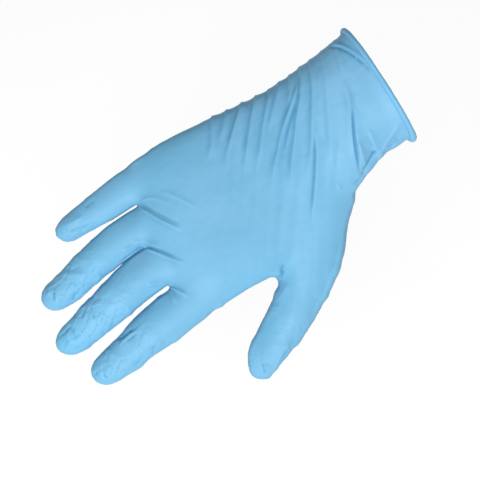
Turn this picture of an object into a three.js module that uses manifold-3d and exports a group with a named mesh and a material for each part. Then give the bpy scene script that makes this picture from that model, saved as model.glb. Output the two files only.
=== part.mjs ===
import * as THREE from "three";
import { mergeVertices } from "three/addons/utils/BufferGeometryUtils.js";
import Module from "manifold-3d";

// A thin nitrile exam glove in its worn form: one dipped film, closed at five tips and open at the cuff,
// and the bead that its edge is rolled into.
// Millimetres. +X points out of the cuff, +Y to the little finger, +Z out of the back.
// The origin is the middle of the cuff's mouth.

// Film and bead
const WALL = 1.2;
const BEAD_DIAMETER = 3.0;
const BEAD_GAP = 0.3;
// Cuff, from the mouth to the wrist
const CUFF_LENGTH = 42.0;
const CUFF_WIDTH = 69.5;
const CUFF_DEPTH = 43.0;
const MOUTH_SWING = 3.2; // degrees that the mouth is turned about Z
const MOUTH_TILT = 2.5; // degrees that the mouth's top leans out
// Palm, from the wrist to the line of the webs
const PALM_LENGTH = 121.0;
const PALM_WIDTH = 97.0;
const PALM_DEPTH = 29.0;
const PALM_HOLLOW = 3.5;
const WEB_ROUNDING = 30.0; // length over which the palm closes to the webs
const LITTLE_WEB_STEP = 14.0; // how far the little finger's web lies nearer to the cuff
// Fingers, from the line of the webs
const FINGER_LENGTH = 74.0;
const FINGER_WIDTH = 25.8;
const FINGER_ROOT = 34.0; // length of a finger's tube inside the palm
// Thumb, from its root inside the palm
const THUMB_LENGTH = 138.0;
const THUMB_WIDTH = 34.5;
// Raised folds of the film
const FOLD_WIDTH = 4.4;
const FOLD_HEIGHT = 1.0;
const FOLD_ROOT = 0.6; // how deep a fold's foot sits in the wall

// Mesh fineness: points round a section, and sections along a stretch
const BODY_SIDES = 48;
const BODY_RINGS = 20;
const FINGER_SIDES = 18;
const FINGER_RINGS = 8;
const THUMB_RINGS = 13;
const TIP_RINGS = 5;
const LINING_SHARE = 0.66; // fineness of the inner surface against the outer
const FOLD_STEPS = 9;
const BEAD_SIDES = 8;

// From the mouth to the wrist. along: share of CUFF_LENGTH. wide, deep: over CUFF_WIDTH and CUFF_DEPTH.
// lean: the centre's Y over PALM_WIDTH. lift: its Z over PALM_DEPTH.
const CUFF_SECTIONS = [
  { along: 0.0, wide: 1.0, deep: 1.0, lean: 0.0, lift: 0.0 },
  { along: 0.06, wide: 1.0, deep: 0.98, lean: 0.0, lift: 0.0 },
  { along: 0.3, wide: 0.99, deep: 0.94, lean: 0.004, lift: 0.0 },
  { along: 0.54, wide: 0.975, deep: 0.91, lean: -0.001, lift: -0.005 },
  { along: 0.74, wide: 1.02, deep: 0.88, lean: -0.017, lift: -0.01 },
  { along: 0.9, wide: 1.058, deep: 0.86, lean: -0.0345, lift: -0.015 },
  { along: 1.0, wide: 1.062, deep: 0.84, lean: -0.04, lift: -0.02 },
];

// From the wrist to the webs. along: share of PALM_LENGTH. wide, deep: share of the way from the wrist's
// size to the palm's. lean, lift: as above. hollow: share of PALM_HOLLOW.
const PALM_SECTIONS = [
  { along: 0.0, wide: 0.0, deep: 0.0, lean: -0.04, lift: -0.02, hollow: 0.0 },
  { along: 0.13, wide: 0.1, deep: 0.38, lean: -0.04, lift: -0.03, hollow: 0.1 },
  { along: 0.25, wide: 0.35, deep: 0.68, lean: -0.051, lift: -0.04, hollow: 0.5 },
  { along: 0.38, wide: 0.71, deep: 0.84, lean: -0.06, lift: -0.04, hollow: 0.9 },
  { along: 0.5, wide: 0.98, deep: 0.94, lean: -0.069, lift: -0.04, hollow: 1.0 },
  { along: 0.56, wide: 1.06, deep: 0.98, lean: -0.069, lift: -0.03, hollow: 0.9 },
  { along: 0.64, wide: 1.0, deep: 1.0, lean: -0.05, lift: -0.02, hollow: 0.7 },
  { along: 0.75, wide: 0.99, deep: 1.05, lean: -0.043, lift: -0.01, hollow: 0.4 },
  { along: 0.87, wide: 0.95, deep: 1.2, lean: -0.043, lift: -0.01, hollow: 0.1 },
  { along: 1.0, wide: 0.84, deep: 1.4, lean: -0.043, lift: -0.02, hollow: 0.0 },
];

// reach: length over FINGER_LENGTH. wide: width over FINGER_WIDTH. tip: width at the nail over the width at
// the web. across: the web's Y over PALM_WIDTH. lift: its Z over PALM_DEPTH. web: share of LITTLE_WEB_STEP.
// splay: degrees towards the little finger. curl: degrees that the tip is bent down.
// The rows are the little, ring, middle and index finger.
const FINGERS = [
  { reach: 0.69, wide: 0.81, tip: 0.73, across: 0.346, lift: -0.1, web: 1.0, splay: 0.5, curl: 13 },
  { reach: 0.9, wide: 0.865, tip: 0.8, across: 0.12, lift: -0.03, web: 0.0, splay: -4.4, curl: 15 },
  { reach: 1.0, wide: 0.995, tip: 0.75, across: -0.127, lift: 0.0, web: 0.0, splay: -5.0, curl: 15 },
  { reach: 0.905, wide: 1.02, tip: 0.72, across: -0.412, lift: -0.05, web: 0.0, splay: -3.8, curl: 13 },
];
const FINGER_DEPTH_SHARE = 0.86; // depth of a finger over its width
const TIP_ROUNDING = 0.75; // length of a tip's round end over its width at the nail
const TIP_FULLNESS = 2.3; // exponent of a tip's round end: an ellipse at 2, blunter above it
const LAST_TIP_ANGLE = 1.45; // radians of the last ring of a tip's round end

// From the thumb's root beside the wrist to its tip. along: share of THUMB_LENGTH. wide, deep: size over
// THUMB_WIDTH. heading: degrees from -X towards -Y. drop: degrees downwards.
const THUMB_SECTIONS = [
  { along: 0.0, wide: 0.7, deep: 0.5, heading: 44, drop: 0 },
  { along: 0.15, wide: 0.97, deep: 0.74, heading: 43, drop: 4 },
  { along: 0.32, wide: 1.04, deep: 0.84, heading: 42, drop: 7 },
  { along: 0.48, wide: 1.0, deep: 0.8, heading: 41, drop: 6 },
  { along: 0.6, wide: 0.83, deep: 0.7, heading: 38.5, drop: 5 },
  { along: 0.7, wide: 0.77, deep: 0.65, heading: 27, drop: 5 },
  { along: 0.82, wide: 0.72, deep: 0.6, heading: 26, drop: 6 },
  { along: 1.0, wide: 0.57, deep: 0.5, heading: 33, drop: 8 },
];
const THUMB_ROOT = { along: 0.01, across: -0.17, lift: -0.08 }; // over PALM_LENGTH, PALM_WIDTH, PALM_DEPTH

// Folds that stand up from the back. Each runs through three places: x over the length from mouth to webs,
// y from the body's middle over its half width there. wide, high: over FOLD_WIDTH and FOLD_HEIGHT.
const FOLDS = [
  { x: [0.09, 0.155, 0.25], y: [0.3, -0.185, -0.82], wide: 1.0, high: 1.3 }, // the deep crease by the wrist
  { x: [0.19, 0.31, 0.43], y: [0.485, -0.16, -0.745], wide: 1.0, high: 0.9 },
  { x: [0.215, 0.335, 0.465], y: [0.66, 0.18, -0.435], wide: 1.2, high: 1.1 },
  { x: [0.26, 0.37, 0.48], y: [0.735, 0.33, -0.06], wide: 0.9, high: 1.2 },
  { x: [0.32, 0.42, 0.51], y: [0.88, 0.455, 0.125], wide: 1.1, high: 1.0 },
  { x: [0.365, 0.45, 0.55], y: [0.94, 0.59, 0.175], wide: 1.2, high: 1.2 },
  { x: [0.42, 0.49, 0.575], y: [0.94, 0.69, 0.34], wide: 1.1, high: 1.0 },
  { x: [0.49, 0.545, 0.605], y: [0.94, 0.75, 0.465], wide: 1.0, high: 0.8 },
  { x: [0.32, 0.42, 0.51], y: [-0.26, -0.68, -0.915], wide: 1.2, high: 0.8 },
  { x: [0.015, 0.03, 0.07], y: [0.335, 0.615, 0.835], wide: 0.7, high: 0.8 }, // beside the bead
  { x: [0.04, 0.11, 0.18], y: [-0.675, -0.72, -0.795], wide: 0.9, high: 1.0 }, // the pocket below the thumb
  { x: [0.87, 0.86, 0.835], y: [0.49, 0.285, 0.045], wide: 0.6, high: 0.8 }, // from the little finger's web
  { x: [0.95, 0.932, 0.9], y: [0.035, -0.075, -0.255], wide: 0.6, high: 0.8 }, // from the ring finger's web
  { x: [0.955, 0.945, 0.93], y: [-0.405, -0.485, -0.645], wide: 0.6, high: 0.7 }, // the middle finger's web
];

const wasm = await Module();
wasm.setup();

const BODY_LENGTH = CUFF_LENGTH + PALM_LENGTH;
const radians = THREE.MathUtils.degToRad;
const lerp = THREE.MathUtils.lerp;
const smooth = (value, low, high) => THREE.MathUtils.smoothstep(value, low, high);

// A smooth reader of a table: the row at any place along it.
function reader(table) {
  const columns = Object.keys(table[0]).filter((column) => column !== "along");
  const places = table.map((row) => row.along);
  const values = table.flatMap((row) => columns.map((column) => row[column]));
  const curve = new THREE.CubicInterpolant(places, values, columns.length);
  return (along) => {
    const found = curve.evaluate(along);
    return Object.fromEntries(columns.map((column, i) => [column, found[i]]));
  };
}

const cuffAt = reader(CUFF_SECTIONS);
const palmAt = reader(PALM_SECTIONS);
const thumbAt = reader(THUMB_SECTIONS);

// The closed mesh over a row of rings. Loose ends are closed flat, or the last ring meets the first.
function meshOver(rings, looped = false) {
  const sides = rings[0].length;
  const points = rings.flat();
  const faces = [];
  const last = looped ? rings.length : rings.length - 1;
  for (let r = 0; r < last; r++) {
    const next = ((r + 1) % rings.length) * sides;
    for (let i = 0; i < sides; i++) {
      const j = (i + 1) % sides;
      faces.push(r * sides + i, r * sides + j, next + j, r * sides + i, next + j, next + i);
    }
  }
  if (!looped) {
    for (const [ring, turned] of [[0, true], [rings.length - 1, false]]) {
      const centre = points.length;
      const start = ring * sides;
      points.push(middleOf(rings[ring]));
      for (let i = 0; i < sides; i++) {
        const pair = [start + i, start + ((i + 1) % sides)];
        if (turned) pair.reverse();
        faces.push(centre, ...pair);
      }
    }
  }
  return new THREE.BufferGeometry().setFromPoints(points).setIndex(faces);
}

function middleOf(ring) {
  return ring.reduce((sum, p) => sum.add(p), new THREE.Vector3()).divideScalar(ring.length);
}

// A closed mesh as a solid for cutting and joining, and back.
function solidOf(geometry) {
  const merged = mergeVertices(geometry, 1e-4);
  const vertProperties = merged.attributes.position.array;
  const triVerts = new Uint32Array(merged.index.array);
  return new wasm.Manifold(new wasm.Mesh({ numProp: 3, vertProperties, triVerts }));
}

function geometryOf(solid) {
  const mesh = solid.getMesh();
  const geometry = new THREE.BufferGeometry();
  geometry.setAttribute("position", new THREE.BufferAttribute(mesh.vertProperties, 3));
  geometry.setIndex(new THREE.BufferAttribute(mesh.triVerts, 1));
  geometry.computeVertexNormals();
  return geometry;
}

// A rounded section: full at exponent 2, squarer above it.
function roundedPoint(angle, halfWidth, halfDepth, exponent) {
  const [c, s] = [Math.cos(angle), Math.sin(angle)];
  const bend = (value) => Math.sign(value) * Math.abs(value) ** (2 / exponent);
  return [bend(c) * halfWidth, bend(s) * halfDepth];
}

// How far out of the mouth's flat face a place lies, because that face is swung and tilted.
function mouthShift(y, z, out) {
  const shift = y * Math.tan(radians(MOUTH_SWING)) + z * Math.tan(radians(MOUTH_TILT));
  return shift * (1 - smooth(out, 0, CUFF_LENGTH));
}

// How far the body stops short of the line of the webs, towards the little finger.
function webShift(y, along) {
  const aside = smooth(y / PALM_WIDTH, 0.0, 0.32);
  return LITTLE_WEB_STEP * aside * smooth(along, 0.45, 1);
}

// The body's section, out millimetres from the mouth.
function bodySection(out) {
  if (out <= CUFF_LENGTH) {
    const row = cuffAt(Math.max(out / CUFF_LENGTH, 0));
    return { along: 0, hollow: 0, ...row, width: row.wide * CUFF_WIDTH, depth: row.deep * CUFF_DEPTH };
  }
  const along = (out - CUFF_LENGTH) / PALM_LENGTH;
  const row = palmAt(along);
  const wrist = cuffAt(1);
  const width = lerp(wrist.wide * CUFF_WIDTH, PALM_WIDTH, row.wide);
  const depth = lerp(wrist.deep * CUFF_DEPTH, PALM_DEPTH, row.deep);
  return { along, ...row, width, depth };
}

// One ring of the body, out millimetres from the mouth, inset from the outer surface.
function bodyRing(out, sides, inset) {
  const { along, width, depth, lean, lift, hollow } = bodySection(out);
  const end = BODY_LENGTH - inset;
  const past = Math.max(0, (out - (end - WEB_ROUNDING)) / WEB_ROUNDING);
  const closing = Math.sqrt(Math.max(0, 1 - past ** 2.4));
  const halfWidth = width / 2 - inset;
  const halfDepth = Math.max((depth / 2 - inset) * closing, 0.4);
  const exponent = lerp(2.15, 2.5, smooth(out, CUFF_LENGTH, CUFF_LENGTH + PALM_LENGTH / 2));
  const ring = [];
  for (let i = 0; i < sides; i++) {
    const [across, up] = roundedPoint((2 * Math.PI * i) / sides, halfWidth, halfDepth, exponent);
    const y = lean * PALM_WIDTH + across;
    const middle = 1 - Math.min(1, Math.abs(across / halfWidth)) ** 2;
    const raised = hollow * PALM_HOLLOW * middle * Math.max(0, -up / halfDepth);
    const z = lift * PALM_DEPTH + up + raised;
    ring.push(new THREE.Vector3(mouthShift(y, z, out) + webShift(y, along) - out, y, z));
  }
  return ring;
}

function bodySolid(sides, rings, inset) {
  // The lining starts outside the mouth, so that the cuff is open.
  const start = inset > 0 ? -4 * WALL : 0;
  const end = BODY_LENGTH - inset;
  const made = [];
  for (let r = 0; r <= rings; r++) {
    const share = r / rings;
    const eased = lerp(share, Math.sin((share * Math.PI) / 2), 0.4);
    made.push(bodyRing(lerp(start, end, eased), sides, inset));
  }
  return solidOf(meshOver(made.reverse()));
}

// A tube along a bent centre line. stations lists { centre, forward, halfWidth, halfDepth }.
function tubeSolid(stations, sides) {
  const rings = stations.map(({ centre, forward, halfWidth, halfDepth }) => {
    const side = new THREE.Vector3(0, 0, 1).cross(forward).normalize();
    const up = forward.clone().cross(side).normalize();
    return Array.from({ length: sides }, (_, i) => {
      const [across, high] = roundedPoint((2 * Math.PI * i) / sides, halfWidth, halfDepth, 2.1);
      return centre.clone().addScaledVector(side, across).addScaledVector(up, high);
    });
  });
  return solidOf(meshOver(rings));
}

// The unit direction that heads that many degrees from -X towards -Y, and that many down.
function directionOf(heading, drop) {
  const flat = Math.cos(radians(drop));
  const [c, s] = [Math.cos(radians(heading)), Math.sin(radians(heading))];
  return new THREE.Vector3(-c * flat, -s * flat, -Math.sin(radians(drop)));
}

// Walks a centre line and gives its stations, with a round end.
// describe(s) gives { heading, drop, width, depth } at length s.
function walk(start, length, rings, inset, rounding, describe) {
  const end = length - inset;
  const cap = rounding - inset;
  const places = [];
  for (let r = 0; r <= rings; r++) places.push({ s: ((end - cap) * r) / rings, closing: 1 });
  for (let r = 1; r <= TIP_RINGS; r++) {
    const angle = (LAST_TIP_ANGLE * r) / TIP_RINGS;
    places.push({
      s: end - cap + cap * Math.sin(angle) ** (2 / TIP_FULLNESS),
      closing: Math.cos(angle) ** (2 / TIP_FULLNESS),
    });
  }
  const centre = start.clone();
  let gone = 0;
  return places.map(({ s, closing }) => {
    const between = describe((gone + s) / 2);
    centre.addScaledVector(directionOf(between.heading, between.drop), s - gone);
    gone = s;
    const here = describe(s);
    return {
      centre: centre.clone(),
      forward: directionOf(here.heading, here.drop),
      halfWidth: (here.width / 2 - inset) * closing,
      halfDepth: (here.depth / 2 - inset) * closing,
    };
  });
}

function fingerSolid(finger, sides, rings, inset) {
  const reach = finger.reach * FINGER_LENGTH;
  const width = finger.wide * FINGER_WIDTH;
  const web = -BODY_LENGTH + finger.web * LITTLE_WEB_STEP;
  const start = new THREE.Vector3(web + FINGER_ROOT, finger.across * PALM_WIDTH, finger.lift * PALM_DEPTH);
  const describe = (s) => {
    const t = Math.max(0, (s - FINGER_ROOT) / reach);
    const root = lerp(0.72, 1, smooth(s, 0, FINGER_ROOT));
    const size = width * root * lerp(1, finger.tip, smooth(t, 0.1, 0.9));
    return {
      heading: -finger.splay * (1 - Math.cos(2 * Math.PI * t)),
      drop: finger.curl * t ** 1.2,
      width: size,
      depth: size * FINGER_DEPTH_SHARE,
    };
  };
  const rounding = TIP_ROUNDING * width * finger.tip;
  return tubeSolid(walk(start, FINGER_ROOT + reach, rings, inset, rounding, describe), sides);
}

function thumbSolid(sides, rings, inset) {
  const start = new THREE.Vector3(
    -CUFF_LENGTH - THUMB_ROOT.along * PALM_LENGTH,
    THUMB_ROOT.across * PALM_WIDTH,
    THUMB_ROOT.lift * PALM_DEPTH,
  );
  const describe = (s) => {
    const row = thumbAt(s / THUMB_LENGTH);
    return { ...row, width: row.wide * THUMB_WIDTH, depth: row.deep * THUMB_WIDTH };
  };
  const tipWidth = THUMB_SECTIONS.at(-1).wide * THUMB_WIDTH;
  return tubeSolid(walk(start, THUMB_LENGTH, rings, inset, TIP_ROUNDING * tipWidth, describe), sides);
}

// The whole glove's outline as one solid, inset from its outer surface.
function gloveForm(inset) {
  const fineness = inset > 0 ? LINING_SHARE : 1;
  const count = (n) => 2 * Math.round((n * fineness) / 2);
  const parts = [
    bodySolid(count(BODY_SIDES), count(BODY_RINGS), inset),
    thumbSolid(count(FINGER_SIDES), count(THUMB_RINGS), inset),
    ...FINGERS.map((finger) => fingerSolid(finger, count(FINGER_SIDES), count(FINGER_RINGS), inset)),
  ];
  return parts.reduce((whole, part) => whole.add(part));
}

// One raised fold: a low ridge, thin at both ends, laid along the back.
function foldSolid(fold, surface) {
  const places = fold.x.map((x, i) => {
    const { lean, width } = bodySection(x * BODY_LENGTH);
    return new THREE.Vector3(-x * BODY_LENGTH, lean * PALM_WIDTH + (fold.y[i] * width) / 2, 0);
  });
  const line = new THREE.CatmullRomCurve3(places);
  const ray = new THREE.Raycaster();
  const down = new THREE.Vector3(0, 0, -1);
  const rings = [];
  for (let i = 0; i <= FOLD_STEPS; i++) {
    const t = i / FOLD_STEPS;
    const place = line.getPoint(t);
    ray.set(place.clone().setZ(PALM_WIDTH), down);
    const foot = ray.intersectObject(surface)[0].point;
    const taper = Math.max(Math.sin(Math.PI * t) ** 0.7, 0.08);
    const forward = line.getTangent(t);
    const side = new THREE.Vector3(-forward.y, forward.x, 0).normalize();
    const half = (fold.wide * FOLD_WIDTH * lerp(0.4, 1, taper)) / 2;
    const high = fold.high * FOLD_HEIGHT * taper;
    const outline = [
      [1, -FOLD_ROOT / 2],
      [0.45, high * 0.5],
      [0, high],
      [-0.45, high * 0.5],
      [-1, -FOLD_ROOT / 2],
      [0, -FOLD_ROOT],
    ];
    const pointAt = ([across, up]) => foot.clone().addScaledVector(side, across * half).setZ(foot.z + up);
    rings.push(outline.map(pointAt));
  }
  return solidOf(meshOver(rings));
}

function filmGeometry() {
  const outer = gloveForm(0);
  const surface = new THREE.Mesh(geometryOf(outer));
  const folded = FOLDS.reduce((whole, fold) => whole.add(foldSolid(fold, surface)), outer);
  return geometryOf(folded.subtract(gloveForm(WALL)));
}

// The rolled bead: a round roll that lies outside the film's edge, all the way round.
function beadGeometry() {
  const radius = BEAD_DIAMETER / 2;
  const edge = bodyRing(0, BODY_SIDES, 0);
  const centre = middleOf(edge);
  const rings = edge.map((point, i) => {
    const before = edge.at(i - 1);
    const after = edge[(i + 1) % edge.length];
    const forward = after.clone().sub(before).normalize();
    const outward = point.clone().sub(centre);
    outward.addScaledVector(forward, -outward.dot(forward)).normalize();
    const axis = forward.clone().cross(outward).normalize();
    const reach = BEAD_GAP + radius / Math.cos(Math.PI / BEAD_SIDES);
    const middle = point.clone().addScaledVector(outward, reach);
    return Array.from({ length: BEAD_SIDES }, (_, k) => {
      const angle = (2 * Math.PI * (k + 0.5)) / BEAD_SIDES;
      return middle.clone()
        .addScaledVector(outward, Math.cos(angle) * radius)
        .addScaledVector(axis, Math.sin(angle) * radius);
    });
  });
  return meshOver(rings, true);
}

const film = new THREE.Mesh(
  filmGeometry(),
  new THREE.MeshStandardMaterial({ color: 0x7cc0e6, roughness: 0.5, metalness: 0.0 }),
);
film.name = "glove_film";

const bead = new THREE.Mesh(
  beadGeometry(),
  new THREE.MeshStandardMaterial({ color: 0x74bfec, roughness: 0.5, metalness: 0.0 }),
);
bead.name = "rolled_bead";

const glove = new THREE.Group();
glove.name = "nitrile_exam_glove";
glove.add(film, bead);

export default glove;
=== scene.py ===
import math

import bmesh
import bpy
import numpy as np
from mathutils import Matrix, Vector, noise


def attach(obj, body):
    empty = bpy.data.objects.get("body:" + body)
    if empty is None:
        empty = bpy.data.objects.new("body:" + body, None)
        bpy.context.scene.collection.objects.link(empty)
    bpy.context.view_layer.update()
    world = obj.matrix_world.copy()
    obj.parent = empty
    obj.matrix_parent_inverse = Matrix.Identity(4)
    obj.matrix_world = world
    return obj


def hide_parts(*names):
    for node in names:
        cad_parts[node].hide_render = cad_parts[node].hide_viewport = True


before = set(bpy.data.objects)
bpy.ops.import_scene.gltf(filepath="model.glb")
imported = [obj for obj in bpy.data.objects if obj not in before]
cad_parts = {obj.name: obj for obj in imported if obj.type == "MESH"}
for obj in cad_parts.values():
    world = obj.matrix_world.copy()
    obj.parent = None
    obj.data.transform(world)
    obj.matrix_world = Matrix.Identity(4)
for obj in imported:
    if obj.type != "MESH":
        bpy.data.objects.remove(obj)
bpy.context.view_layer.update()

# A nitrile exam glove in its worn form. The film starts as the solid's inner surface, because its webs are
# open wide enough to remesh. It is relaxed, moved out by the solid's wall, and then folded.
# Everything is in metres: +X out of the cuff, +Y to the little finger, +Z out of the back.
MM = 0.001

# How the photograph lies over the glove
PHOTO_PIXELS = 480
PIXEL = 0.57 * MM  # width of one pixel on the plane z = 0
MOUTH_PIXEL = (378.05, 84.92)  # the middle of the cuff's mouth
TURN = math.radians(35)  # the glove's -X points this far below the photograph's left
CAMERA_HEIGHT = 1.2
SENSOR = 36.0  # in mm, as the lens is
FLOOR_DROP = 0.6  # far enough for the shadow to fall outside the picture
FLOOR_HALF_WIDTH = 6
FAR_CLIP = 50

# The mouth of the cuff
MOUTH_SWING = math.radians(3.2)  # turned about Z
MOUTH_TILT = math.radians(2.5)  # the top leans out
MOUTH_NORMAL = Vector((1.0, -math.tan(MOUTH_SWING), -math.tan(MOUTH_TILT))).normalized()
TURNED_BACK = 0.018  # the film's mouth is turned this much less about Z than the solid's, as a slope
TURNED_BACK_LENGTH = 40 * MM  # measured from the mouth
ON_MOUTH = 0.05 * MM  # a vertex this near the plane of the mouth lies on it

# The film
GLOVE_LENGTH = 240 * MM  # from the bead to the middle fingertip
FILM_THICKNESS = 0.3 * MM
SOLID_WALL = 1.2 * MM
WELD = 0.002 * MM
CUT_WELD = 0.02 * MM
VOXEL = 1.34 * MM
MOUTH_EXTRA = 5 * MM  # the film runs this far past the mouth until it is trimmed
FLARE = 1.7 * MM  # how far the film's edge spreads out under the bead
FLARE_LENGTH = 9 * MM
FLARE_POWER = 2.2
LINING_INSET = 2.4 * MM  # deeper than the deepest fold, so that the lining stays under it
LINING_SLOPE = 5 * MM  # the lining is fully inset this far inside the mouth
LINING_SHARE = 0.1  # faces of the lining over those of the outside
REFINED_ABOVE = 0.1  # a face is refined where its normal's Z is more than this

# Ranges, each from where something starts to where it is full. These are of a normal's Z.
BACK_FACING = (-0.3, 0.15)
RISING = (0.4, 0.8)  # the knuckles and the thumb's root are rounded only where they face up
FLAT = (0.3, 1)  # what faces straight up or down has no part in the outline
# These are of the glove's X or Y, in mm. The first are where its knuckles and its thumb's root are rounded.
KNUCKLE_FRONT_X, KNUCKLE_REAR_X = (-190, -168), (-100, -128)
THUMB_ROOT_FRONT_X, THUMB_ROOT_REAR_X, THUMB_ROOT_Y = (-124, -104), (-30, -44), (-18, -32)
# Where the ends of the fingers and of the thumb are loose and creased
FINGER_END_X, THUMB_END_Y = (-172, -206), (-72, -88)
# Where the back is drawn into ripples, from the cuff and from the knuckles
DRAWN_REAR_X, DRAWN_FRONT_X = (-20, -45), (-125, -85)
# Where the bead hangs over the thumb's side
NUB_Y = (-29, -36)

# How the film is smoothed. An even round draws it in and lets it out again, so that it keeps its size.
# The other rounds only draw it in.
EVEN_ROUNDS, ROUNDING_ROUNDS, REFINED_ROUNDS = 10, 130, 2
DRAW_IN, LET_OUT = 0.5, -0.52

# The profile of a fold. Its height rises and fades over these shares of its length.
FOLD_RISE = 0.2
FOLD_FADE = 0.38
FOLD_SHARPNESS = 1.15
FOLD_REACH = 4  # in widths of the fold
FOLD_STEP = 1.5 * MM
FEWEST_STEPS = 8
CORNER_ROUNDS = 3
EDGE_START = 0.5

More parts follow.
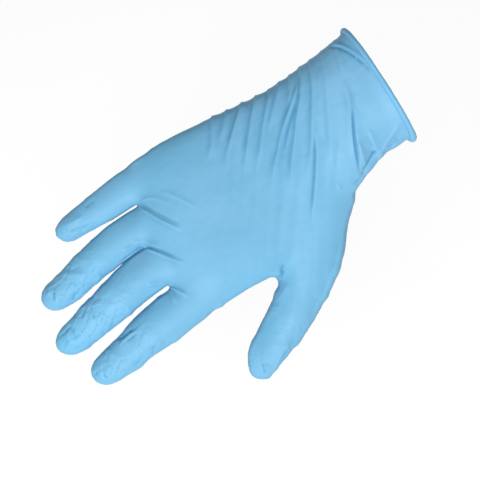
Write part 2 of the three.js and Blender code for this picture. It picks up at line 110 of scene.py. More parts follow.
# Folds of the back. Each path runs through pixels of the photograph. high is in mm and is negative for a
# valley. toe and heel are its widths in mm on the fingers' side and on the cuff's side of the path.
# A fold with from_edge starts at half its height, because it comes over the glove's outer edge.
BACK_FOLDS = [
    # The pinched pair on the cuff, and the valley between its crests
    dict(path=[(344, 76), (346, 85), (350, 102), (350.6, 117), (351.6, 133), (353.7, 149), (356.8, 165),
               (359.5, 179)],
         high=1.1, toe=1.5, heel=0.9),
    dict(path=[(353.6, 106), (355.2, 124), (356.6, 136), (358.6, 148), (360.8, 160), (363, 174)],
         high=0.9, toe=0.8, heel=1.7),
    dict(path=[(352.4, 106), (353.5, 125), (354.4, 137), (356, 150), (358.3, 163), (360.4, 178)],
         high=-1.5, toe=0.9, heel=0.8),
    # The long folds that run from the outer edge of the cuff to the ball of the thumb
    dict(path=[(320, 47), (323, 57), (326, 76), (327.6, 105), (328.8, 120), (330, 135), (332, 156),
               (334, 176)],
         high=0.69, toe=1.0, heel=2.2, from_edge=True),
    dict(path=[(338, 130), (336, 160), (333.6, 178), (330, 205)], high=-0.4, toe=4, heel=4),
    dict(path=[(309, 56), (312, 70), (313, 88), (312.8, 107), (312.2, 125), (312, 142), (310.8, 156),
               (309, 169), (307.4, 190)],
         high=1.32, toe=0.9, heel=2.0, from_edge=True),
    dict(path=[(317, 128), (317.2, 156), (316.8, 174), (315.4, 192), (314, 209), (312.6, 228)],
         high=0.8, toe=1.0, heel=1.6),
    dict(path=[(314.6, 132), (315, 156), (314.4, 174), (313.2, 192), (311.6, 209), (310.6, 224)],
         high=-0.8, toe=1.2, heel=0.8),
    dict(path=[(298, 64), (302, 76), (301, 98), (298.6, 109), (296.8, 120), (295.4, 134), (293.8, 147),
               (292.1, 160), (291.2, 174), (291.8, 200)],
         high=1.55, toe=0.9, heel=2.8, from_edge=True),
    dict(path=[(300, 78), (293, 101), (290, 110), (285.8, 120), (282.7, 130), (280, 141), (278.2, 151),
               (276, 160), (273.8, 171), (272.6, 192)],
         high=1.67, toe=1.0, heel=1.9),
    dict(path=[(297.5, 96), (293.8, 109), (291, 118), (288.2, 128), (286, 139), (283.6, 153)],
         high=-0.69, toe=1.0, heel=0.8),
    dict(path=[(288, 70), (291, 82), (290, 96), (287, 108)], high=0.8, toe=1.0, heel=1.6, from_edge=True),
    dict(path=[(278, 76), (280, 86), (275, 104), (271, 120), (269, 136)],
         high=0.8, toe=0.9, heel=2.0, from_edge=True),
    dict(path=[(267, 83), (269.6, 94), (265.7, 113), (263.2, 126), (261.7, 138), (260.4, 150),
               (258.1, 160), (256, 178)],
         high=1.26, toe=0.9, heel=2.2, from_edge=True),
    dict(path=[(254, 89), (256.6, 98), (254.1, 107), (251.9, 117), (250.1, 128), (248.3, 141),
               (246.5, 153), (244.6, 176)],
         high=1.38, toe=0.9, heel=2.2, from_edge=True),
    dict(path=[(241, 96), (242.6, 104), (239.4, 113), (236.7, 120), (233.6, 130), (231.3, 138),
               (227.5, 151), (226, 176)],
         high=1.32, toe=0.9, heel=2.2, from_edge=True),
    dict(path=[(226, 102), (227, 110), (225, 120), (222, 132), (220, 146)],
         high=0.69, toe=0.9, heel=2.0, from_edge=True),
    dict(path=[(211, 108), (213, 118), (211.8, 131), (211.7, 146), (206.5, 164)],
         high=0.92, toe=1.0, heel=2.4, from_edge=True),
    dict(path=[(338.5, 184), (339.8, 192)], high=0.46, toe=0.6, heel=0.8),
    # The pocket between the cuff and the thumb
    dict(path=[(357.6, 140), (363, 157), (367, 174)], high=0.8, toe=0.8, heel=2.0),
    dict(path=[(377, 149), (371, 160), (365, 169), (361, 177)], high=-2.0, toe=2.4, heel=1.4),
    dict(path=[(368, 129), (374, 144), (379, 155)], high=0.7, toe=0.8, heel=2.0),
    dict(path=[(400, 122), (391, 136), (382, 149), (377, 160)], high=0.9, toe=1.2, heel=1.4),
    dict(path=[(400, 139), (394, 143), (386, 150)], high=-0.7, toe=1.4, heel=1.4),
    dict(path=[(383, 150), (376, 160), (369, 169), (362, 175)], high=1.5, toe=2.6, heel=2.6),
    dict(path=[(366, 171), (359, 181), (352, 186)], high=-0.8, toe=1.5, heel=1.8),
    dict(path=[(334, 38), (338, 50), (342, 64), (345, 78)], high=0.7, toe=1.0, heel=1.3, from_edge=True),
    # The two folds beside the bead
    dict(path=[(326, 45), (333, 44), (341, 44.6), (349, 48.4), (358, 54.6), (368, 63.2), (377, 74),
               (384, 84)],
         high=1.0, toe=1.2, heel=0.7),
    dict(path=[(326, 47.6), (334, 46.6), (341, 47.4), (348.6, 51.4), (357, 57.8), (366, 66.2),
               (374, 76)],
         high=-0.9, toe=0.8, heel=0.8),
    # From the web of the little finger
    dict(path=[(138, 205), (145.2, 210.6), (152.9, 215.4), (161.3, 220), (172, 225.3), (186, 231.5)],
         high=1.5, toe=0.9, heel=0.6),
    dict(path=[(139, 202.6), (147.6, 207.6), (155.6, 212.2), (165, 217), (176, 222.4), (188, 228)],
         high=-0.35, toe=0.5, heel=0.8),
    dict(path=[(137, 203), (145.2, 198.4), (152.1, 197.2), (159, 199.2), (166, 202.4), (176, 207)],
         high=0.5, toe=1.0, heel=1.0),
    dict(path=[(158, 191), (173.6, 195.4), (179.7, 198.8), (187.3, 202.6), (193.5, 205.7), (202, 211)],
         high=0.5, toe=0.8, heel=1.0),
    # From the web of the ring finger
    dict(path=[(143, 247.6), (154.4, 251.4), (161.3, 254.2), (167.4, 256.8), (175, 260), (188, 265)],
         high=1.4, toe=0.9, heel=0.6),
    dict(path=[(144, 245.4), (155.6, 248.8), (163, 251.6), (169.4, 254.2), (178, 257.6)],
         high=-0.4, toe=0.5, heel=0.7),
    dict(path=[(130, 241), (142.2, 242), (149.1, 243.1), (155, 245.4), (164, 248)],
         high=0.6, toe=0.8, heel=0.9),
    dict(path=[(122, 250.8), (130, 247.8), (135.3, 244.6), (141, 243)], high=0.8, toe=0.8, heel=0.8),
    dict(path=[(143.5, 246), (136, 251.6), (128, 257.4), (119, 263.6)], high=-1.3, toe=0.9, heel=0.9),
    # From the web of the middle finger
    dict(path=[(167, 285), (176.6, 289.8), (182, 292.6), (190, 297.6)], high=1.1, toe=0.9, heel=0.8),
    dict(path=[(168.6, 287), (172, 293), (174.2, 298), (176, 305)], high=0.9, toe=0.8, heel=0.8),
    dict(path=[(146, 284.8), (156.7, 283.6), (162.8, 283), (168, 283.4), (174, 285.6)],
         high=0.8, toe=1.0, heel=0.9),
    # The ring finger
    dict(path=[(60.2, 274), (68.6, 275), (80.8, 275.1), (91.6, 274), (98.4, 273.2)],
         high=0.58, toe=1.4, heel=1.4),
    dict(path=[(64, 272.4), (71.7, 270.1), (77.8, 267.8), (85.4, 265.6)], high=-0.43, toe=1.4, heel=1.6),
    dict(path=[(45.7, 295.4), (50.6, 291.6), (53.5, 291)], high=0.58, toe=0.9, heel=0.9),
    dict(path=[(53.3, 291), (53.9, 297), (53.7, 302)], high=-0.72, toe=0.9, heel=0.9),
    dict(path=[(55.6, 288.5), (56.2, 297.7), (54.6, 307)], high=0.51, toe=0.9, heel=1.2),
    dict(path=[(57.1, 307.6), (61.7, 298.5), (62, 290)], high=-0.36, toe=1.2, heel=1.2),
    dict(path=[(101, 274), (97, 281), (95, 286)], high=0.72, toe=1.2, heel=1.5),
    dict(path=[(82, 288), (75, 296), (70, 303)], high=-0.72, toe=2.0, heel=2.0),
    # The middle finger
    dict(path=[(95, 295), (90, 298.5), (84, 303), (81, 307)], high=-0.72, toe=1.2, heel=1.1),
    dict(path=[(90.8, 304.5), (91.6, 311.5), (94.6, 317.6), (98.4, 321.4)], high=-0.43, toe=0.9, heel=0.9),
    dict(path=[(87.7, 311), (90, 319), (93.1, 324)], high=0.36, toe=0.9, heel=0.9),
    dict(path=[(85.4, 307), (83.1, 315.3), (78.6, 321.4)], high=-0.43, toe=0.9, heel=0.9),
    dict(path=[(80.8, 312), (76.3, 320), (74, 327)], high=0.43, toe=0.9, heel=0.9),
    dict(path=[(70.9, 324.5), (65.5, 332.1), (56.4, 338.2)], high=-0.72, toe=1.1, heel=0.8),
    dict(path=[(71, 324), (71.7, 330.6), (74.7, 336.7), (76.3, 341.3)], high=-0.58, toe=0.9, heel=0.9),
    dict(path=[(67, 330), (68, 338), (72, 346)], high=0.58, toe=1.0, heel=1.2),
    dict(path=[(110.7, 314), (106.1, 321.4), (104, 326)], high=-0.36, toe=0.9, heel=0.9),
    dict(path=[(113.4, 317), (113.7, 324), (109.2, 328)], high=-0.51, toe=1.2, heel=1.2),
    dict(path=[(127.7, 306), (128.9, 313)], high=0.51, toe=0.9, heel=0.9),
    # The index finger
    dict(path=[(118, 346), (120.6, 343.8), (128.1, 337.2), (133.9, 332.2), (139.7, 327.2)],
         high=1.01, toe=1.1, heel=0.9),
    dict(path=[(126.4, 341.3), (133.1, 336.3), (138, 332.2)], high=-0.51, toe=0.8, heel=0.9),
    dict(path=[(115.7, 341.3), (123.1, 336.3), (128.9, 331.4), (138, 326.6)],
         high=-0.72, toe=1.3, heel=1.1),
    dict(path=[(98.7, 368.7), (102.4, 374.5), (107.4, 380.3)], high=-0.51, toe=0.9, heel=0.9),
    dict(path=[(104, 360.4), (107.4, 367.8), (110.7, 373.6)], high=0.51, toe=0.9, heel=0.9),
    dict(path=[(95.5, 371), (97, 376)], high=-0.58, toe=0.9, heel=0.9),
    dict(path=[(134.7, 367.8), (139.7, 359.6), (145.5, 353.7)], high=-0.36, toe=1.1, heel=1.1),
    dict(path=[(154.5, 345), (153.8, 350.4), (151, 356)], high=-0.58, toe=1.3, heel=1.2),
    dict(path=[(160.5, 341), (159.6, 347)], high=0.43, toe=0.9, heel=0.9),
    dict(path=[(205, 314.5), (199, 317), (196, 320)], high=-0.3, toe=1.2, heel=1.2),
    # The little finger
    dict(path=[(63, 228), (71, 222.5), (78, 219), (86, 214)], high=0.58, toe=1.1, heel=1.1),
    dict(path=[(68, 232), (78, 229), (86, 226)], high=-0.58, toe=1.1, heel=1.1),
    dict(path=[(84, 208), (90, 203), (97, 199)], high=-0.43, toe=1.2, heel=1.2),
    dict(path=[(79, 233), (84, 228), (90, 224)], high=-0.51, toe=1.0, heel=1.2),
    # The thumb and its web
    dict(path=[(283.4, 264), (282, 269), (281, 274)], high=-0.6, toe=0.7, heel=0.8),
    dict(path=[(286.6, 269), (284, 275), (281.6, 281)], high=0.5, toe=0.8, heel=1.2),
    dict(path=[(272, 269), (276, 272.4), (280, 276)], high=-0.25, toe=0.7, heel=0.8),
    dict(path=[(288.9, 283.2), (284.8, 289.8), (279.8, 297.3), (273.1, 303.9)],
         high=0.6, toe=2.0, heel=2.4),
    dict(path=[(269.8, 308.1), (276, 307), (283.1, 306.4)], high=0.3, toe=1.0, heel=1.0),
    dict(path=[(268.2, 312.2), (273, 311.6), (278.9, 311.4)], high=0.25, toe=1.0, heel=1.0),
    dict(path=[(261.1, 361.5), (262.4, 367), (263.6, 371.5), (266.5, 376.5)], high=-0.6, toe=0.8, heel=0.9),
    dict(path=[(265.7, 366.1), (269.8, 364.5)], high=0.6, toe=0.9, heel=0.9),
    dict(path=[(293, 342.9), (284.8, 348.7), (281.4, 354.5), (278.9, 361.1), (274.8, 368.6),
               (270.7, 375.2)],
         high=0.95, toe=2.2, heel=1.1),
    dict(path=[(318, 295), (315, 305), (309, 322)], high=-0.4, toe=2.6, heel=2.6),
]

# Folds of the palm side, in mm of the glove's own X and Y
PALM_FOLDS = [
    dict(path=[(-136, -46), (-128, -24), (-127, 2), (-132, 30)], high=-0.8, toe=3.0, heel=3.0),
    dict(path=[(-120, -50), (-108, -26), (-92, -8), (-74, 4)], high=-0.9, toe=3.0, heel=3.4),
    dict(path=[(-60, -40), (-58, -18), (-62, 4), (-68, 24)], high=0.8, toe=2.0, heel=2.6),
    dict(path=[(-50, -34), (-47, -14), (-50, 8), (-56, 28)], high=0.9, toe=1.8, heel=2.2),
    dict(path=[(-38, -36), (-35, -14), (-38, 10), (-44, 30)], high=0.8, toe=1.8, heel=2.2),
    dict(path=[(-26, -20), (-24, 0), (-28, 22)], high=0.5, toe=2.0, heel=2.0),
    dict(path=[(-78, -46), (-74, -30), (-66, -14)], high=0.6, toe=2.0, heel=2.6),
    dict(path=[(-84, 30), (-92, 12), (-104, -4)], high=0.5, toe=2.4, heel=2.4),
    dict(path=[(-160, -48), (-159, -38), (-160, -28)], high=-0.7, toe=1.6, heel=1.6),
    dict(path=[(-162, -24), (-161, -13), (-162, -2)], high=-0.7, toe=1.6, heel=1.6),
    dict(path=[(-160, 2), (-159, 11), (-159, 20)], high=-0.7, toe=1.6, heel=1.6),
    dict(path=[(-149, 25), (-148, 33), (-148, 41)], high=-0.7, toe=1.6, heel=1.6),
    dict(path=[(-186, -52), (-185, -41), (-185, -31)], high=-0.5, toe=1.3, heel=1.3),
    dict(path=[(-190, -25), (-189, -14), (-189, -3)], high=-0.5, toe=1.3, heel=1.3),
    dict(path=[(-184, 0), (-183, 10), (-183, 20)], high=-0.5, toe=1.3, heel=1.3),
    dict(path=[(-169, 26), (-168, 33), (-168, 41)], high=-0.5, toe=1.3, heel=1.3),
    dict(path=[(-124, -92), (-117, -82), (-112, -66)], high=-0.6, toe=1.6, heel=1.6),
]

# How far the outline stands out from the solid's, and where it stands further out or in. at: pixel.
# reach: pixels. out: mm.
OUTLINE_OUT = 0.2 * MM
OUTLINE_CORE = 0.2  # share of the reach over which a shift is full
OUTLINE_SHIFTS = [
    dict(at=(343, 262), reach=34, out=1.5),
    dict(at=(354, 194), reach=16, out=1.5),
    dict(at=(325, 303), reach=20, out=0.7),
    dict(at=(290, 353), reach=14, out=-1.5),
    dict(at=(281, 362), reach=12, out=-1.6),
    dict(at=(279, 370), reach=14, out=-2.2),
    dict(at=(254, 375), reach=10, out=0.7),
    dict(at=(250, 345), reach=16, out=0.6),
    dict(at=(278, 285), reach=9, out=-1.6),
    dict(at=(277, 273), reach=8, out=2.2),
    dict(at=(175, 343), reach=30, out=0.8),
    dict(at=(140, 368), reach=14, out=0.7),
    dict(at=(134, 161), reach=13, out=0.9),
    dict(at=(83, 303), reach=16, out=0.9),
    dict(at=(135, 253), reach=17, out=1.1),
    dict(at=(336, 277), reach=18, out=0.9),
    dict(at=(327, 290), reach=16, out=1.2),
    dict(at=(353, 206), reach=13, out=0.6),
    dict(at=(105, 279), reach=14, out=-0.3),
    dict(at=(123, 317), reach=16, out=0.4),
    dict(at=(60, 347), reach=12, out=0.5),
    dict(at=(396, 146), reach=10, out=0.9),
    dict(at=(58, 232), reach=8, out=0.5),
    dict(at=(70, 258), reach=16, out=0.5),
    dict(at=(220, 305), reach=6, out=0.7),
    dict(at=(176, 339), reach=6, out=0.5),
    dict(at=(131, 313), reach=6, out=0.6),
]

# Unevenness too small to trace: height in mm, how many to the mm along X, Y and Z
SWELLS = [
    dict(high=0.3, pitch=(0.045, 0.08, 0.06)),
    dict(high=0.08, pitch=(0.16, 0.26, 0.22)),
]
# Thin creases where the noise passes zero. turn: degrees about Z that the pattern is turned.
CREASES = [
    dict(high=0.34, turn=25, pitch=(0.05, 0.15, 0.1), thin=0.13),
    dict(high=-0.34, turn=-30, pitch=(0.06, 0.17, 0.1), thin=0.12),
    dict(high=0.26, turn=70, pitch=(0.08, 0.18, 0.12), thin=0.12),
]
CREASE_SHARPNESS = 1.3
# How much of the creases the thumb, the palm side and the sides have, against the backs of the fingers
THUMB_CREASES, PALM_CREASES, SIDE_CREASES = 0.45, 0.35, 0.35
# Ripples where the film is drawn together behind the knuckles: they run along the long folds
RIPPLE_TURN = math.radians(38)
RIPPLE_HIGH = 0.36 * MM
RIPPLE_PITCH = (0.2, 0.016, 0.02)
# Painted shade: the film is coloured deeper blue in hollows, where shade falls. How widely a place is
# compared, how far in it is full shade, and the share of it on the palm side
HOLLOW_SHADE_ROUNDS = 16
HOLLOW_SHADE_DEPTH = 0.36 * MM
PALM_HOLLOW_SHADE = 0.3

# The rolled bead
BEAD_SWELL = 0.2 * MM
BEAD_UNEVEN = 0.18 * MM
BEAD_WAVES = [(90, 1), (330, 0.5)]  # how many to the metre, and how strong
ROUNDER_LEVELS = 2
NUB = 0.4 * MM  # the bead is thicker where it hangs over the thumb's side

# Colours, as linear red, green and blue. The tones are of the fingertips, the back and the cuff.
FILM_TONES = [(0.158, 0.426, 0.64), (0.146, 0.384, 0.574), (0.182, 0.418, 0.62)]
FILM_COOL = (0.162, 0.38, 0.57)
# The film's deep colour is of its darker blotches and also of the painted shade in its hollows
FILM_BLOTCH_AND_SHADE = (0.045, 0.22, 0.38)
BEAD_TONES = [(0.16, 0.43, 0.65)] * 3
BEAD_COOL = (0.18, 0.42, 0.63)
BEAD_DEEP = (0.05, 0.25, 0.42)
FLOOR_GREY, FLOOR_GLOW, FLOOR_ROUGHNESS = 0.7, 0.32, 0.9
SKY_STRENGTH = 0.36

# The satin finish. scale is how many to the metre. low to high of the noise becomes 0 to most.
TONE_STOPS = (0.08, 0.36, 0.62, 0.88)  # shares of the length: fingertips, the back's two ends, cuff
CLOUDS = dict(scale=22, detail=2, low=0.4, high=0.62, most=0.6)
BLOTCHES = dict(scale=38, detail=3, low=0.3, high=0.7, most=0.16)
# How strongly the painted shade in hollows darkens the film's colour
HOLLOW_SHADE_STRENGTH = 0.7
GRAIN = dict(scale=1400, detail=2, strength=0.12, distance=0.2 * MM)
CRINKLES = dict(scale=160, detail=4, strength=0.25, distance=0.6 * MM)
FILM_ROUGHNESS, FILM_SPECULAR = 0.5, 0.17

# The lamps. place is in metres from the middle of the picture.
SOFTBOXES = [
    dict(name="thumb_side_softbox", place=(-0.55, -0.72, 1.25), size=0.4, power=24),
    dict(name="overhead_softbox", place=(0, 0.1, 1.8), size=0.8, power=7.5),
]


def smoothstep(value, start, full):
    """0 up to start, 1 from full on, and a soft rise between. full may be less than start."""
    t = np.clip((value - start) / (full - start), 0, 1)
    return t * t * (3 - 2 * t)


def places(mesh):
    """Where the vertices are, one row each."""
    co = np.empty(len(mesh.vertices) * 3)
    mesh.vertices.foreach_get("co", co)
    return co.reshape(-1, 3)


def normals(mesh):
    """Which way the vertices face, one row each."""
    found = np.empty(len(mesh.vertices) * 3)
    mesh.vertex_normals.foreach_get("vector", found)
    return found.reshape(-1, 3)


def edge_ends(mesh):
    """The two vertices of each edge."""
    found = np.empty(len(mesh.edges) * 2, np.int32)
    mesh.edges.foreach_get("vertices", found)
    return found.reshape(-1, 2)


def move_to(mesh, co):
    mesh.vertices.foreach_set("co", co.ravel())
    mesh.update()


def new_object(name, mesh):
    made = bpy.data.objects.new(name, mesh)
    bpy.context.scene.collection.objects.link(made)
    return made


def object_from(bm, name):
    mesh = bpy.data.meshes.new(name)
    bm.to_mesh(mesh)
    bm.free()
    return new_object(name, mesh)


def plane_point(pixel):
    """Where a pixel of the photograph lies on the plane z = 0."""
    across = (pixel[0] - MOUTH_PIXEL[0]) * PIXEL
    up = (MOUTH_PIXEL[1] - pixel[1]) * PIXEL
    c, s = math.cos(TURN), math.sin(TURN)
    return across * c + up * s, -across * s + up * c


CENTRE = plane_point((PHOTO_PIXELS / 2, PHOTO_PIXELS / 2))


def seen_on_plane(co):
    """Where the camera sees each place against the plane z = 0."""
    spread = CAMERA_HEIGHT / (CAMERA_HEIGHT - co[:, 2:3])
    return (co[:, :2] - CENTRE) * spread + CENTRE


def inside_mouth(co):
    """How far each place lies inside the plane of the mouth."""
    return -co @ np.array(MOUTH_NORMAL)


def baked(thing, name):
    """A new mesh object that holds what the object's modifiers make."""
    graph = bpy.context.evaluated_depsgraph_get()
    mesh = bpy.data.meshes.new_from_object(thing.evaluated_get(graph))
    bpy.data.objects.remove(thing)
    mesh.name = name
    return new_object(name, mesh)


def solid_mesh(node):
    """The solid of one node, with its vertices joined."""
    bm = bmesh.new()
    bm.from_mesh(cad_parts[node].data)
    bmesh.ops.remove_doubles(bm, verts=bm.verts, dist=WELD)
    return bm


def shell_of(start):
    """The vertices joined to one vertex."""
    found, waiting = {start}, [start]
    while waiting:
        for edge in waiting.pop().link_edges:
            for vert in edge.verts:
                if vert not in found:
                    found.add(vert)
                    waiting.append(vert)
    return found


def inner_form():
    """The solid's inner surface as one closed body, run a little past the mouth."""
    bm = solid_mesh("glove_film")
    wall_edge = [f for f in bm.faces if all(abs(v.co.dot(MOUTH_NORMAL)) < ON_MOUTH for v in f.verts)]
    bmesh.ops.delete(bm, geom=wall_edge, context="FACES")
    furthest = min(bm.verts, key=lambda v: v.co.x)
    outer = shell_of(furthest)
    bmesh.ops.delete(bm, geom=list(outer), context="VERTS")
    mouth = [e for e in bm.edges if e.is_boundary]
    run_on = bmesh.ops.extrude_edge_only(bm, edges=mouth)["geom"]
    moved = [g for g in run_on if isinstance(g, bmesh.types.BMVert)]
    bmesh.ops.translate(bm, verts=moved, vec=MOUTH_NORMAL * MOUTH_EXTRA)
    bmesh.ops.holes_fill(bm, edges=[e for e in bm.edges if e.is_boundary], sides=0)
    bmesh.ops.recalc_face_normals(bm, faces=bm.faces)
    form = object_from(bm, "inner_form")
    remesh = form.modifiers.new("even_mesh", "REMESH")
    remesh.mode = "VOXEL"
    remesh.voxel_size = VOXEL
    return baked(form, "dipped_film")


def relax(co, ends, share, rounds):
    """Draws each place towards the middle of its neighbours. share is a number or one for each place."""
    count = len(co)
    ours = np.concatenate([ends[:, 0], ends[:, 1]])
    others = np.concatenate([ends[:, 1], ends[:, 0]])
    degree = np.bincount(ours, minlength=count)[:, None]
    for _ in range(rounds):
        drawn = np.stack([np.bincount(ours, co[others, k], count) for k in range(3)], 1) / degree
        co = co + share * (drawn - co)
    return co


def even_out(film):
    """Takes the facets out of the film, rounds its knuckles and the root of its thumb into the back, and
    moves it out to where the solid's outer surface lies."""
    mesh = film.data
    ends = edge_ends(mesh)
    co = places(mesh)
    for _ in range(EVEN_ROUNDS):
        co = relax(co, ends, DRAW_IN, 1)
        co = relax(co, ends, LET_OUT, 1)
    move_to(mesh, co)
    x, y = co[:, 0] / MM, co[:, 1] / MM
    knuckles = smoothstep(x, *KNUCKLE_FRONT_X) * smoothstep(x, *KNUCKLE_REAR_X)
    thumb_root = smoothstep(x, *THUMB_ROOT_FRONT_X) * smoothstep(x, *THUMB_ROOT_REAR_X)
    thumb_root *= smoothstep(y, *THUMB_ROOT_Y)
    rounded = np.maximum(knuckles, thumb_root) * smoothstep(normals(mesh)[:, 2], *RISING)
    co = relax(co, ends, DRAW_IN * rounded[:, None], ROUNDING_ROUNDS)
    co = relax(co, ends, DRAW_IN, 1)
    move_to(mesh, co)
    move_to(mesh, co + normals(mesh) * SOLID_WALL)


def evenly_spaced(path):
    """Points a step apart along a path, with its corners rounded."""
    path = np.array(path, float)
    gone = np.concatenate([[0], np.cumsum(np.linalg.norm(np.diff(path, axis=0), axis=1))])
    steps = np.linspace(0, gone[-1], max(FEWEST_STEPS, int(gone[-1] / FOLD_STEP)))
    line = np.stack([np.interp(steps, gone, path[:, k]) for k in range(2)], 1)
    for _ in range(CORNER_ROUNDS):
        line[1:-1] = (line[:-2] + 2 * line[1:-1] + line[2:]) / 4
    return line


def fold_height(flat, path, row):
    """The height of one fold at each place, from its distance to the path and its side of it."""
    line = evenly_spaced(path)
    reach = FOLD_REACH * max(row["toe"], row["heel"]) * MM
    near = np.all((flat > line.min(0) - reach) & (flat < line.max(0) + reach), axis=1)
    places_near = flat[near]
    best = np.full(len(places_near), np.inf)
    side = np.zeros(len(places_near))
    along = np.zeros(len(places_near))
    for i in range(len(line) - 1):
        a, d = line[i], line[i + 1] - line[i]
        length = max(np.linalg.norm(d), 1e-9)
        offset = places_near - a
        share = np.clip(offset @ d / length**2, 0, 1)
        gap = offset - share[:, None] * d
        distance = np.linalg.norm(gap, axis=1)
        closer = distance < best
        best[closer] = distance[closer]
        across = np.array([d[1], -d[0]]) / length
        across = across if across[0] > 0 else -across
        side[closer] = (gap @ across)[closer]
        along[closer] = ((i + share) / (len(line) - 1))[closer]
    width = np.where(side > 0, row["heel"], row["toe"]) * MM
    start = EDGE_START if row.get("from_edge") else 0
    rise = start + (1 - start) * smoothstep(along, 0, FOLD_RISE)
    fade = smoothstep(1 - along, 0, FOLD_FADE)
    height = np.zeros(len(flat))
    height[near] = row["high"] * MM * rise * fade * np.exp(-((best / width) ** FOLD_SHARPNESS))
    return height


def turned_noise(co, turn, pitch):
    """Smooth noise at each place. Its pattern is turned about Z, and has pitch repeats to the mm."""
    spin = Matrix.Rotation(turn, 3, "Z")
    scale = Vector(pitch) / MM
    return np.array([noise.noise((spin @ Vector(p)) * scale) for p in co])


def crease_height(co, row):
    """A thin line wherever smooth noise passes zero."""
    value = turned_noise(co, math.radians(row["turn"]), row["pitch"])
    return row["high"] * MM * np.clip(1 - np.abs(value) / row["thin"], 0, 1) ** CREASE_SHARPNESS


def lay_folds(film):
    """Lays the folds and wrinkles on the film, and keeps as an attribute how hollow each place is, for
    painted shade in hollows.
    """
    mesh = film.data
    co, out = places(mesh), normals(mesh)
    seen = seen_on_plane(co)
    back = smoothstep(out[:, 2], *BACK_FACING)
    palm = smoothstep(-out[:, 2], *BACK_FACING)
    height = np.zeros(len(co))
    for row in BACK_FOLDS:
        height += back * fold_height(seen, [plane_point(p) for p in row["path"]], row)
    for row in PALM_FOLDS:
        height += palm * fold_height(co[:, :2], [(x * MM, y * MM) for x, y in row["path"]], row)
    x, y = co[:, 0] / MM, co[:, 1] / MM
    loose = np.maximum(smoothstep(x, *FINGER_END_X), THUMB_CREASES * smoothstep(y, *THUMB_END_Y))
    loose = np.maximum(loose, PALM_CREASES * palm)
    loose *= SIDE_CREASES + (1 - SIDE_CREASES) * np.abs(out[:, 2])
    for row in CREASES:
        height += loose * crease_height(co, row)
    drawn = back * smoothstep(x, *DRAWN_REAR_X) * smoothstep(x, *DRAWN_FRONT_X)
    height += RIPPLE_HIGH * drawn * turned_noise(co, RIPPLE_TURN, RIPPLE_PITCH)
    for row in SWELLS:
        height += row["high"] * MM * turned_noise(co, 0, row["pitch"])
    co = co + out * height[:, None]
    # Painted shade: the further a place lies below its smoothed neighbours, the darker it is coloured
    sunk = np.sum((relax(co, edge_ends(mesh), DRAW_IN, HOLLOW_SHADE_ROUNDS) - co) * out, axis=1)
    hollow_shade = np.clip(sunk / HOLLOW_SHADE_DEPTH, 0, 1) * (PALM_HOLLOW_SHADE + (1 - PALM_HOLLOW_SHADE) * back)
    move_to(mesh, co)
    kept = mesh.attributes.new("hollow_shade", "FLOAT", "POINT")
    kept.data.foreach_set("value", hollow_shade.astype(np.float32))


def shift_outline(film):
    """Moves the outline out or in where it should differ from the solid's."""
    co, out = places(film.data), normals(film.data)
    seen = seen_on_plane(co)
    sideways = 1 - smoothstep(np.abs(out[:, 2]), *FLAT)
    shift = np.full(len(co), OUTLINE_OUT)
    for row in OUTLINE_SHIFTS:
        away = np.linalg.norm(seen - plane_point(row["at"]), axis=1) / (row["reach"] * PIXEL)
        shift += row["out"] * MM * smoothstep(away, 1, OUTLINE_CORE)
    move_to(film.data, co + out * (shift * sideways)[:, None])


def trim_at_mouth(film):
    """Cuts off what runs past the mouth, and leaves it open."""
    bm = bmesh.new()
    bm.from_mesh(film.data)
    everything = bm.verts[:] + bm.edges[:] + bm.faces[:]
    bmesh.ops.bisect_plane(bm, geom=everything, dist=CUT_WELD, plane_co=(0, 0, 0),
                           plane_no=MOUTH_NORMAL, clear_outer=True)
    bm.to_mesh(film.data)
    bm.free()


def refine_back(film):
    """Halves the mesh size where the film faces up, so that it can carry sharp folds."""
    bm = bmesh.new()
    bm.from_mesh(film.data)
    upper = {e for f in bm.faces if f.normal.z > REFINED_ABOVE for e in f.edges}
    bmesh.ops.subdivide_edges(bm, edges=list(upper), cuts=1, use_grid_fill=True)
    bm.to_mesh(film.data)
    bm.free()
    move_to(film.data, relax(places(film.data), edge_ends(film.data), DRAW_IN, REFINED_ROUNDS))


def turn_mouth_back(piece):
    """Turns the mouth a little less about Z than the solid's."""
    co = places(piece.data)
    co[:, 0] -= TURNED_BACK * co[:, 1] * smoothstep(co[:, 0], -TURNED_BACK_LENGTH, 0)
    move_to(piece.data, co)


def flare_mouth(film):
    """Spreads the edge of the film out under the bead."""
    co = places(film.data)
    outward = co * (0, 1, 1)
    outward /= np.maximum(np.linalg.norm(outward, axis=1, keepdims=True), 1e-6)
    rise = np.clip(1 - inside_mouth(co) / FLARE_LENGTH, 0, 1) ** FLARE_POWER
    move_to(film.data, co + outward * (FLARE * rise)[:, None])


def make_lining(film):
    """A copy of the film's outside with few faces, inset and turned inside out."""
    lining = new_object("lining", film.data.copy())
    fewer = lining.modifiers.new("fewer", "DECIMATE")
    fewer.ratio = LINING_SHARE
    lining = baked(lining, "lining")
    co, out = places(lining.data), normals(lining.data)
    sloped = smoothstep(inside_mouth(co), 0, LINING_SLOPE)
    inset = FILM_THICKNESS + (LINING_INSET - FILM_THICKNESS) * sloped
    move_to(lining.data, co - out * inset[:, None])
    lining.data.flip_normals()
    return lining


def join_at_mouth(film, lining):
    """Puts the lining into the film's mesh and closes the edge between them."""
    bm = bmesh.new()
    bm.from_mesh(film.data)
    bm.from_mesh(lining.data)
    bmesh.ops.bridge_loops(bm, edges=[e for e in bm.edges if e.is_boundary])
    bm.to_mesh(film.data)
    bm.free()
    bpy.data.objects.remove(lining)


def shade_smooth(piece):
    piece.data.polygons.foreach_set("use_smooth", [True] * len(piece.data.polygons))
    piece.data.update()


def make_film():
    """The dipped film. Its lining is made before the folds, so it stays smooth."""
    film = inner_form()
    even_out(film)
    shift_outline(film)
    trim_at_mouth(film)
    lining = make_lining(film)
    refine_back(film)
    lay_folds(film)
    join_at_mouth(film, lining)
    flare_mouth(film)
    turn_mouth_back(film)
    shade_smooth(film)
    return film


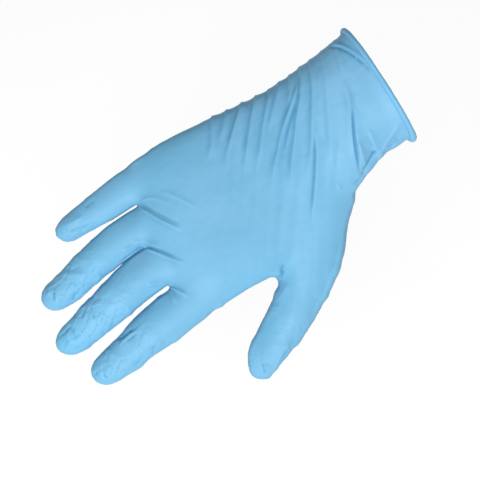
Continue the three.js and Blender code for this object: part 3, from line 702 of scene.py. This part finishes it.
def make_bead():
    """The rolled bead, rounder than the solid and a little uneven along its way."""
    base = object_from(solid_mesh("rolled_bead"), "bead_base")
    rounder = base.modifiers.new("rounder", "SUBSURF")
    rounder.levels = rounder.render_levels = ROUNDER_LEVELS
    bead = baked(base, "cuff_bead")
    co, out = places(bead.data), normals(bead.data)
    swell = BEAD_SWELL + NUB * smoothstep(co[:, 1] / MM, *NUB_Y)
    for scale, strength in BEAD_WAVES:
        swell += BEAD_UNEVEN * strength * np.array([noise.noise(Vector(p) * scale) for p in co])
    move_to(bead.data, co + out * swell[:, None])
    turn_mouth_back(bead)
    shade_smooth(bead)
    return bead


def new_material(name):
    material = bpy.data.materials.new(name)
    material.use_nodes = True
    return material, material.node_tree.nodes["Principled BSDF"]


def noise_of(tree, where, scale, detail):
    made = tree.nodes.new("ShaderNodeTexNoise")
    made.inputs["Scale"].default_value = scale
    made.inputs["Detail"].default_value = detail
    tree.links.new(where, made.inputs["Vector"])
    return made.outputs["Fac"]


def range_of(tree, value, low, high, most=1):
    """Maps low to 0 and high to most."""
    made = tree.nodes.new("ShaderNodeMapRange")
    made.inputs["From Min"].default_value = low
    made.inputs["From Max"].default_value = high
    made.inputs["To Max"].default_value = most
    tree.links.new(value, made.inputs["Value"])
    return made.outputs["Result"]


def patches_of(tree, where, scale, detail, low, high, most):
    return range_of(tree, noise_of(tree, where, scale, detail), low, high, most)


def mixed_with(tree, colour, other, share):
    made = tree.nodes.new("ShaderNodeMix")
    made.data_type = "RGBA"
    made.inputs["B"].default_value = (*other, 1)
    tree.links.new(colour, made.inputs["A"])
    tree.links.new(share, made.inputs["Factor"])
    return made.outputs["Result"]


def bump_of(tree, where, scale, detail, strength, distance):
    made = tree.nodes.new("ShaderNodeBump")
    made.inputs["Strength"].default_value = strength
    made.inputs["Distance"].default_value = distance
    tree.links.new(noise_of(tree, where, scale, detail), made.inputs["Height"])
    return made


def tone_along(tree, where, tones):
    """The film's colour from the fingertips to the cuff. It is lighter towards both."""
    place = tree.nodes.new("ShaderNodeSeparateXYZ")
    tree.links.new(where, place.inputs["Vector"])
    tone = tree.nodes.new("ShaderNodeValToRGB")
    stops = tone.color_ramp.elements
    stops[0].position, stops[0].color = TONE_STOPS[0], (*tones[0], 1)
    stops[1].position, stops[1].color = TONE_STOPS[3], (*tones[2], 1)
    for share in TONE_STOPS[1:3]:
        stops.new(share).color = (*tones[1], 1)
    tree.links.new(range_of(tree, place.outputs["X"], -GLOVE_LENGTH, 0), tone.inputs["Fac"])
    return tone.outputs["Color"]


def nitrile(name, tones, cool, blotch_and_shade):
    """Satin nitrile. It drifts to a cooler blue in soft clouds, is deeper in blotches, and has painted
    shade in its hollows.
    """
    material, shader = new_material(name)
    tree = material.node_tree
    where = tree.nodes.new("ShaderNodeTexCoord").outputs["Object"]
    clouds = patches_of(tree, where, **CLOUDS)
    drifted = mixed_with(tree, tone_along(tree, where, tones), cool, clouds)
    blotches = patches_of(tree, where, **BLOTCHES)
    # Painted shade: the hollow attribute laid with the folds darkens the colour in creases
    hollow_shade = tree.nodes.new("ShaderNodeAttribute")
    hollow_shade.attribute_name = "hollow_shade"
    blotches_and_shade = tree.nodes.new("ShaderNodeMath")
    blotches_and_shade.operation = "MULTIPLY_ADD"
    blotches_and_shade.use_clamp = True
    blotches_and_shade.inputs[1].default_value = HOLLOW_SHADE_STRENGTH
    tree.links.new(hollow_shade.outputs["Fac"], blotches_and_shade.inputs[0])
    tree.links.new(blotches, blotches_and_shade.inputs[2])
    tree.links.new(mixed_with(tree, drifted, blotch_and_shade, blotches_and_shade.outputs["Value"]), shader.inputs["Base Color"])
    grain = bump_of(tree, where, **GRAIN)
    crinkles = bump_of(tree, where, **CRINKLES)
    tree.links.new(grain.outputs["Normal"], crinkles.inputs["Normal"])
    tree.links.new(crinkles.outputs["Normal"], shader.inputs["Normal"])
    shader.inputs["Roughness"].default_value = FILM_ROUGHNESS
    shader.inputs["Specular IOR Level"].default_value = FILM_SPECULAR
    return material


def make_floor():
    bm = bmesh.new()
    bmesh.ops.create_grid(bm, x_segments=1, y_segments=1, size=FLOOR_HALF_WIDTH)
    bmesh.ops.translate(bm, verts=bm.verts, vec=(*CENTRE, -FLOOR_DROP))
    floor = object_from(bm, "floor")
    material, shader = new_material("white_floor")
    shader.inputs["Base Color"].default_value = (FLOOR_GREY, FLOOR_GREY, FLOOR_GREY, 1)
    shader.inputs["Roughness"].default_value = FLOOR_ROUGHNESS
    shader.inputs["Emission Color"].default_value = (1, 1, 1, 1)
    shader.inputs["Emission Strength"].default_value = FLOOR_GLOW
    floor.data.materials.append(material)


def make_softbox(name, place, size, power):
    """A round lamp that faces the middle of the glove."""
    lamp = bpy.data.lights.new(name, "AREA")
    lamp.shape = "DISK"
    lamp.size = size
    lamp.energy = power
    target = Vector((*CENTRE, 0))
    stand = target + Vector(place)
    facing = (target - stand).to_track_quat("-Z", "Y").to_matrix().to_4x4()
    new_object(name, lamp).matrix_world = Matrix.Translation(stand) @ facing


def make_camera():
    lens = bpy.data.cameras.new("camera")
    lens.sensor_width = SENSOR
    lens.lens = SENSOR * CAMERA_HEIGHT / (PHOTO_PIXELS * PIXEL)
    lens.clip_end = FAR_CLIP
    camera = new_object("camera", lens)
    camera.location = (*CENTRE, CAMERA_HEIGHT)
    camera.rotation_euler = (0, 0, -TURN)
    bpy.context.scene.camera = camera


def make_studio():
    world = bpy.data.worlds.new("studio")
    bpy.context.scene.world = world
    world.use_nodes = True
    sky = world.node_tree.nodes["Background"]
    sky.inputs["Color"].default_value = (1, 1, 1, 1)
    sky.inputs["Strength"].default_value = SKY_STRENGTH
    bpy.context.scene.view_settings.view_transform = "Standard"
    for row in SOFTBOXES:
        make_softbox(**row)


film = make_film()
film.data.materials.clear()
film.data.materials.append(nitrile("nitrile_film", FILM_TONES, FILM_COOL, FILM_BLOTCH_AND_SHADE))
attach(film, "root")
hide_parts("glove_film")

bead = make_bead()
bead.data.materials.clear()
bead.data.materials.append(nitrile("nitrile_bead", BEAD_TONES, BEAD_COOL, BEAD_DEEP))
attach(bead, "root")
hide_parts("rolled_bead")

make_floor()
make_studio()
make_camera()
